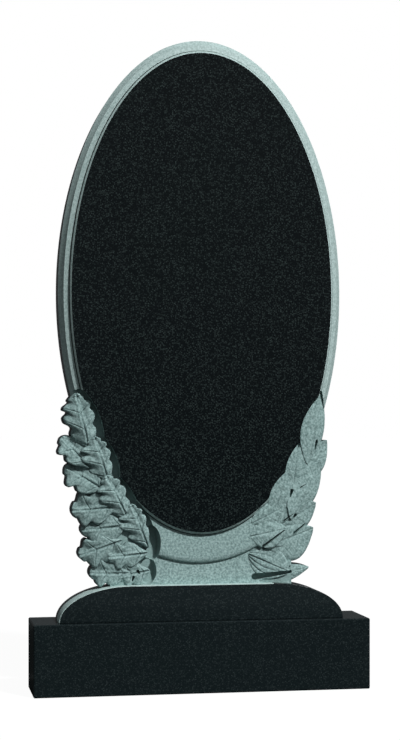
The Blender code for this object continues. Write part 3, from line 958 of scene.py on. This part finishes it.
def hole_outline(hole):
    """A long hole with round ends between two points, narrower at its far end."""
    ends = []
    for x, z in (hole.start, hole.end):
        ends.append(Vector((x / MILLIMETRES_IN_METRE, FOOT + z / MILLIMETRES_IN_METRE)))
    ahead = ends[1] - ends[0]
    tilt = math.degrees(math.atan2(ahead.y, ahead.x))
    wide = hole.width / (2 * MILLIMETRES_IN_METRE)
    narrow = HOLE_TAPER * wide
    start = arc_points(*ends[0], wide, wide, tilt + 90, tilt + 270, HOLE_STEPS)
    stop = arc_points(*ends[1], narrow, narrow, tilt - 90, tilt + 90, HOLE_STEPS)
    return start + stop


def hole_cutters(settings, name, holes, further, group, stone):
    """Cutters for the drilled holes and slashes, which go further back than their depth by a length."""
    levels = [(0, FRONT + settings.spray.hole_drop + further), (0, FRONT - CUTTER_START)]
    for number, hole in enumerate(holes):
        plate(f"{name}_hole_{number}", hole_outline(hole), levels, [TOOLED] * 3, group, stone)


def cut_beds(settings, group, stone):
    """Cutters that sink the ground round the leaves, the drilled holes and the scoops by the neck."""
    spray, neck = settings.spray, settings.neck
    ahead_of_face = FRONT - CUTTER_START
    levels = [(0, FRONT + spray.bed_drop), (0, ahead_of_face)]
    sprays = (
        ("oak", OAK_LEAVES, oak_envelope, spray.oak_margin),
        ("laurel", LAUREL_LEAVES, laurel_envelope, spray.laurel_margin),
    )
    for name, leaves, envelope, margin in sprays:
        for number, leaf in enumerate(leaves):
            outline = bed_outline(settings, leaf, envelope, margin)
            plate(f"{name}_bed_{number}", outline, levels, [TOOLED] * 3, group, stone)
    hole_cutters(settings, "bed", OAK_HOLES + LAUREL_HOLES, SLAB_HOLES_FURTHER, group, stone)
    half = neck.scoop_width / 2
    for number, (across, up, tall) in enumerate(SCOOPS):
        x, z = spot(settings, across, up)
        tall *= oval_centre(settings.oval, neck) - hump_top(neck)
        ring = arc_points(x, z, half, tall, 0.0, 360.0, SCOOP_STEPS)[:-1]
        floor = FRONT + neck.scoop_drop
        dish = [(half * inset, floor - rise) for inset, rise in SCOOP_DISH] + [(0, ahead_of_face)]
        plate(f"scoop_{number}", ring, dish, [TOOLED] * 5, group, stone)


# How far along each leaf the ground behind it reaches, and how near in height two leaves are that
# widen the ground together, in metres.
GROUND_SHARE = 0.55
GROUND_NEAR = 0.045


def ground_outline(settings, leaves):
    """The slab behind one spray: out to the middles of the leaves and in to the middle line."""
    neck = settings.neck
    outer = []
    for leaf in leaves:
        mixed = [b + (t - b) * GROUND_SHARE for t, b in zip(leaf.tip, leaf.base)]
        outer.append(spot(settings, *mixed))
    side = math.copysign(1.0, outer[0][0])
    low = sunk_foot(neck)
    levels = sorted({round(z, 4) for x, z in outer}, reverse=True)
    points = []
    for level in levels:
        near = [abs(x) for x, z in outer if abs(z - level) < GROUND_NEAR]
        points.append((side * max(near), level))
    points.append((side * neck.neck_width / 2, low))
    inner = side * neck.neck_width / 4
    return points + [(inner, low), (inner, levels[0])]


# Rays from each point that find how closed in it is, how far they look and how far off the stone
# they start. Edges of the slab and of the sprays are sharp past their angle in degrees.
RECESS_RAYS = 14
RECESS_REACH = 0.022
RECESS_START = 0.0003
SLAB_SHARP = 30
SPRAY_SHARP = 42


def mark_recesses(thing):
    """Store on each vertex how closed in it is, from rays that meet the stone within their reach, for the
    carved finish to darken by as painted shade.
    """
    mesh = thing.data
    tree = BVHTree.FromPolygons([v.co for v in mesh.vertices], [p.vertices for p in mesh.polygons])
    golden = math.pi * (3 - math.sqrt(5))
    directions = []
    for ray in range(RECESS_RAYS):
        rise = 1 - (ray + 0.5) / RECESS_RAYS
        flat = math.sqrt(1 - rise * rise)
        directions.append(Vector((flat * math.cos(golden * ray), flat * math.sin(golden * ray), rise)))
    values = []
    upright = Vector((0, 0, 1))
    for vertex in mesh.vertices:
        turn = upright.rotation_difference(vertex.normal)
        start = vertex.co + vertex.normal * RECESS_START
        closed = 0.0
        for direction in directions:
            hit = tree.ray_cast(start, turn @ direction, RECESS_REACH)
            if hit[3] is not None:
                closed += 1.0 - 0.5 * hit[3] / RECESS_REACH
        values.append(closed / RECESS_RAYS)
    painted_recess_shade = mesh.attributes.new("painted_recess_shade", "FLOAT", "POINT")
    painted_recess_shade.data.foreach_set("value", values)


def smooth(thing, angle):
    """Shade smooth, with sharp edges past an angle in degrees."""
    thing.data.shade_smooth()
    thing.data.set_sharp_from_angle(angle=math.radians(angle))


def carve_spray(settings, name, leaves, rules, crown, ground_drop, size, holes, stone):
    """One spray: its leaves and the ground behind them joined, and the holes drilled."""
    solids = new_group(name + " leaves")
    drills = new_group(name + " holes")
    rows, columns = size
    for leaf, rule in zip(leaves, rules):
        blade(settings, f"{name}_{leaf.name}", leaf, rule, crown, rows, columns, solids, stone)
    hole_cutters(settings, name, holes, 0.0, drills, stone)
    levels = [(0, BACK - SPRAY_SHORT), (0, FRONT + ground_drop)]
    ground = plate(
        name + "_ground", ground_outline(settings, leaves), levels, (POLISHED, POLISHED, TOOLED),
        bpy.context.scene.collection, stone,
    )
    add_boolean(ground, "UNION", solids)
    add_boolean(ground, "DIFFERENCE", drills)
    made = settled(ground, name, stone)
    remove_group(solids)
    remove_group(drills)
    smooth(made, SPRAY_SHARP)
    # Painted shade: how closed in each point is, which darkens the carved finish.
    mark_recesses(made)
    return made


class HEADSTONE_OT_slab(bpy.types.Operator):
    """Carve the slab: stepped oval, neck, collar, hump and the beds of the sprays"""

    bl_idname = "headstone.slab"
    bl_label = "Carve the slab"

    def execute(self, context):
        settings = context.scene.headstone
        stone = finishes(settings.stone)
        slab = stepped_oval(settings, stone)
        plates = new_group("plates")
        beds = new_group("beds")
        foot = new_group("foot")
        neck_plates(settings, plates, stone)
        cut_beds(settings, beds, stone)
        hump_plate(settings, foot, stone)
        add_boolean(slab, "UNION", plates)
        add_boolean(slab, "DIFFERENCE", beds)
        add_boolean(slab, "UNION", foot)
        slab = settled(slab, "stele_slab", stone)
        for group in (plates, beds, foot):
            remove_group(group)
        smooth(slab, SLAB_SHARP)
        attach(slab, "root")
        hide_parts("stele")
        return {"FINISHED"}


class HEADSTONE_OT_oak_spray(bpy.types.Operator):
    """Carve the spray of oak leaves on the left"""

    bl_idname = "headstone.oak_spray"
    bl_label = "Carve the oak spray"

    def execute(self, context):
        settings = context.scene.headstone
        spray = settings.spray
        size = (spray.oak_rows, spray.oak_columns)
        rules = [oak_point] * len(OAK_LEAVES)
        stone = finishes(settings.stone)
        made = carve_spray(
            settings, "oak_spray", OAK_LEAVES, rules, spray.oak_crown, spray.oak_ground, size, OAK_HOLES,
            stone,
        )
        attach(made, "root")
        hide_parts("stele")
        return {"FINISHED"}


class HEADSTONE_OT_laurel_spray(bpy.types.Operator):
    """Carve the spray of laurel leaves on the right"""

    bl_idname = "headstone.laurel_spray"
    bl_label = "Carve the laurel spray"

    def execute(self, context):
        settings = context.scene.headstone
        spray = settings.spray
        size = (spray.laurel_rows, spray.laurel_columns)
        rules = [fan_point if leaf.name == "fan" else laurel_point for leaf in LAUREL_LEAVES]
        stone = finishes(settings.stone)
        made = carve_spray(
            settings, "laurel_spray", LAUREL_LEAVES, rules, spray.laurel_crown, spray.laurel_ground, size,
            LAUREL_HOLES, stone,
        )
        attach(made, "root")
        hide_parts("stele")
        return {"FINISHED"}


class HEADSTONE_OT_stand(bpy.types.Operator):
    """Make the stand: a polished block with fine broken edges"""

    bl_idname = "headstone.stand"
    bl_label = "Make the stand"

    def execute(self, context):
        settings = context.scene.headstone
        stone = finishes(settings.stone)
        edge = STAND_EDGE
        low, high = STAND_LOW, STAND_HIGH
        outline = [(low.x, low.z), (high.x, low.z), (high.x, high.z), (low.x, high.z)]
        levels = [(edge, high.y), (0, high.y - edge), (0, low.y + edge), (edge, low.y)]
        block = plate("block", outline, levels, [CLOSE] * 5, context.scene.collection, stone)
        builder = bmesh.new()
        builder.from_mesh(block.data)
        half_deep = (high.y - low.y) / 2
        through = [e for e in builder.edges if abs(e.verts[0].co.y - e.verts[1].co.y) > half_deep]
        bmesh.ops.bevel(builder, geom=through, offset=edge, segments=1, affect="EDGES")
        builder.to_mesh(block.data)
        builder.free()
        stand = settled(block, "stand_block", stone)
        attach(stand, "root")
        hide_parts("stand")
        return {"FINISHED"}


# Half the width of the floor in metres, and the tint of the surround's light on the stone.
FLOOR_HALF = 30.0
FILL_TINT = (0.93, 0.98, 1.0)


def add_floor(looks):
    """A wide pale floor that looks near white also in the shade, and lights the stone only softly."""
    mesh = bpy.data.meshes.new("floor")
    half = FLOOR_HALF
    corners = [(-half, -half, 0), (half, -half, 0), (half, half, 0), (-half, half, 0)]
    mesh.from_pydata(corners, [], [(0, 1, 2, 3)])
    floor = bpy.data.objects.new("floor", mesh)
    bpy.context.scene.collection.objects.link(floor)
    material, tree, shader, _ = new_material("matt_white_floor")
    shader.inputs["Base Color"].default_value = four(looks.floor)
    shader.inputs["Roughness"].default_value = 0.9
    shader.inputs["Specular IOR Level"].default_value = 0.0
    seen = add_node(tree, "ShaderNodeLightPath").outputs["Is Camera Ray"]
    glow = add_node(tree, "ShaderNodeMath", {0: seen, 1: looks.floor_glow}, operation="MULTIPLY")
    shader.inputs["Emission Color"].default_value = (1.0, 1.0, 1.0, 1.0)
    tree.links.new(glow.outputs[0], shader.inputs["Emission Strength"])
    mesh.materials.append(material)


def add_lights(looks):
    """A sun from above and the right, and a surround that is brighter on the sun's side."""
    lamp = bpy.data.lights.new("key", "SUN")
    lamp.energy = looks.key
    lamp.angle = looks.key_size
    key = bpy.data.objects.new("key", lamp)
    key.rotation_euler = (looks.key_tilt, 0.0, looks.key_turn)
    bpy.context.scene.collection.objects.link(key)
    towards = key.rotation_euler.to_matrix() @ Vector((0, 0, 1))
    world = bpy.data.worlds.new("white surround")
    world.use_nodes = True
    tree = world.node_tree
    tree.nodes.clear()
    ray = add_node(tree, "ShaderNodeTexCoord").outputs["Generated"]
    near = add_node(tree, "ShaderNodeVectorMath", {0: ray, 1: towards}, operation="DOT_PRODUCT")
    strength = add_node(
        tree, "ShaderNodeMapRange",
        {"Value": near.outputs["Value"], "From Min": -1.0, "From Max": 1.0, "To Min": looks.fill_far,
         "To Max": looks.fill_lit},
    )
    fill = add_node(
        tree, "ShaderNodeBackground", {"Color": four(FILL_TINT), "Strength": strength.outputs[0]}
    )
    white = add_node(tree, "ShaderNodeBackground", {"Color": (1.0, 1.0, 1.0, 1), "Strength": 1.0})
    seen = add_node(tree, "ShaderNodeLightPath").outputs["Is Camera Ray"]
    mixed = add_node(tree, "ShaderNodeMixShader", {0: seen, 1: fill.outputs[0], 2: white.outputs[0]})
    add_node(tree, "ShaderNodeOutputWorld", {"Surface": mixed.outputs[0]})
    bpy.context.scene.world = world


# The camera's place in metres and turn in radians, fitted to the corners of the stand and the ends of
# the oval, its sensor in millimetres, and its focal length and shift in pixels of the photograph.
CAMERA_PLACE = (-0.6112, -3.4749, 0.579)
CAMERA_TURN = -0.1748
SENSOR = 36.0
PHOTO_HEIGHT = 740
FOCAL_PIXELS = 1689.2
SHIFT_PIXELS = 40.9


def add_camera():
    """The camera at the photograph's viewing angle."""
    data = bpy.data.cameras.new("camera")
    data.sensor_width = SENSOR
    data.lens = FOCAL_PIXELS / PHOTO_HEIGHT * SENSOR
    data.shift_y = SHIFT_PIXELS / PHOTO_HEIGHT
    data.clip_end = 100.0
    camera = bpy.data.objects.new("camera", data)
    camera.location = CAMERA_PLACE
    camera.rotation_euler = (math.pi / 2, 0.0, CAMERA_TURN)
    bpy.context.scene.collection.objects.link(camera)
    bpy.context.scene.camera = camera


class HEADSTONE_OT_stage(bpy.types.Operator):
    """Set the stage: pale floor, soft light and the camera"""

    bl_idname = "headstone.stage"
    bl_label = "Set the stage"

    def execute(self, context):
        looks = context.scene.headstone.stage
        context.scene.view_settings.view_transform = "Standard"
        add_floor(looks)
        add_lights(looks)
        add_camera()
        return {"FINISHED"}


class HEADSTONE_PT_panel(bpy.types.Panel):
    """Lists the pieces of the headstone"""

    bl_idname = "HEADSTONE_PT_panel"
    bl_label = "Headstone"
    bl_space_type = "VIEW_3D"
    bl_region_type = "UI"
    bl_category = "Headstone"

    def draw(self, context):
        for operator in OPERATORS:
            self.layout.operator(operator.bl_idname)
        settings = context.scene.headstone
        for group in (settings.oval, settings.neck, settings.spray, settings.stone, settings.stage):
            box = self.layout.box()
            for name in group.bl_rna.properties.keys():
                if name not in ("rna_type", "name"):
                    box.prop(group, name)


OPERATORS = (
    HEADSTONE_OT_slab,
    HEADSTONE_OT_oak_spray,
    HEADSTONE_OT_laurel_spray,
    HEADSTONE_OT_stand,
    HEADSTONE_OT_stage,
)
CLASSES = (
    OvalSizes, NeckSizes, SpraySizes, StoneLooks, StageLooks, HeadstoneSettings, *OPERATORS,
    HEADSTONE_PT_panel,
)


def register():
    """Register the classes and hang the settings on the scene."""
    for each in CLASSES:
        bpy.utils.register_class(each)
    bpy.types.Scene.headstone = PointerProperty(type=HeadstoneSettings)


def unregister():
    """Take the settings and the classes away again."""
    del bpy.types.Scene.headstone
    for each in reversed(CLASSES):
        bpy.utils.unregister_class(each)


def main():
    """Build every piece and the stage."""
    register()
    bpy.ops.headstone.slab()
    bpy.ops.headstone.oak_spray()
    bpy.ops.headstone.laurel_spray()
    bpy.ops.headstone.stand()
    bpy.ops.headstone.stage()


if __name__ == "__main__":
    main()
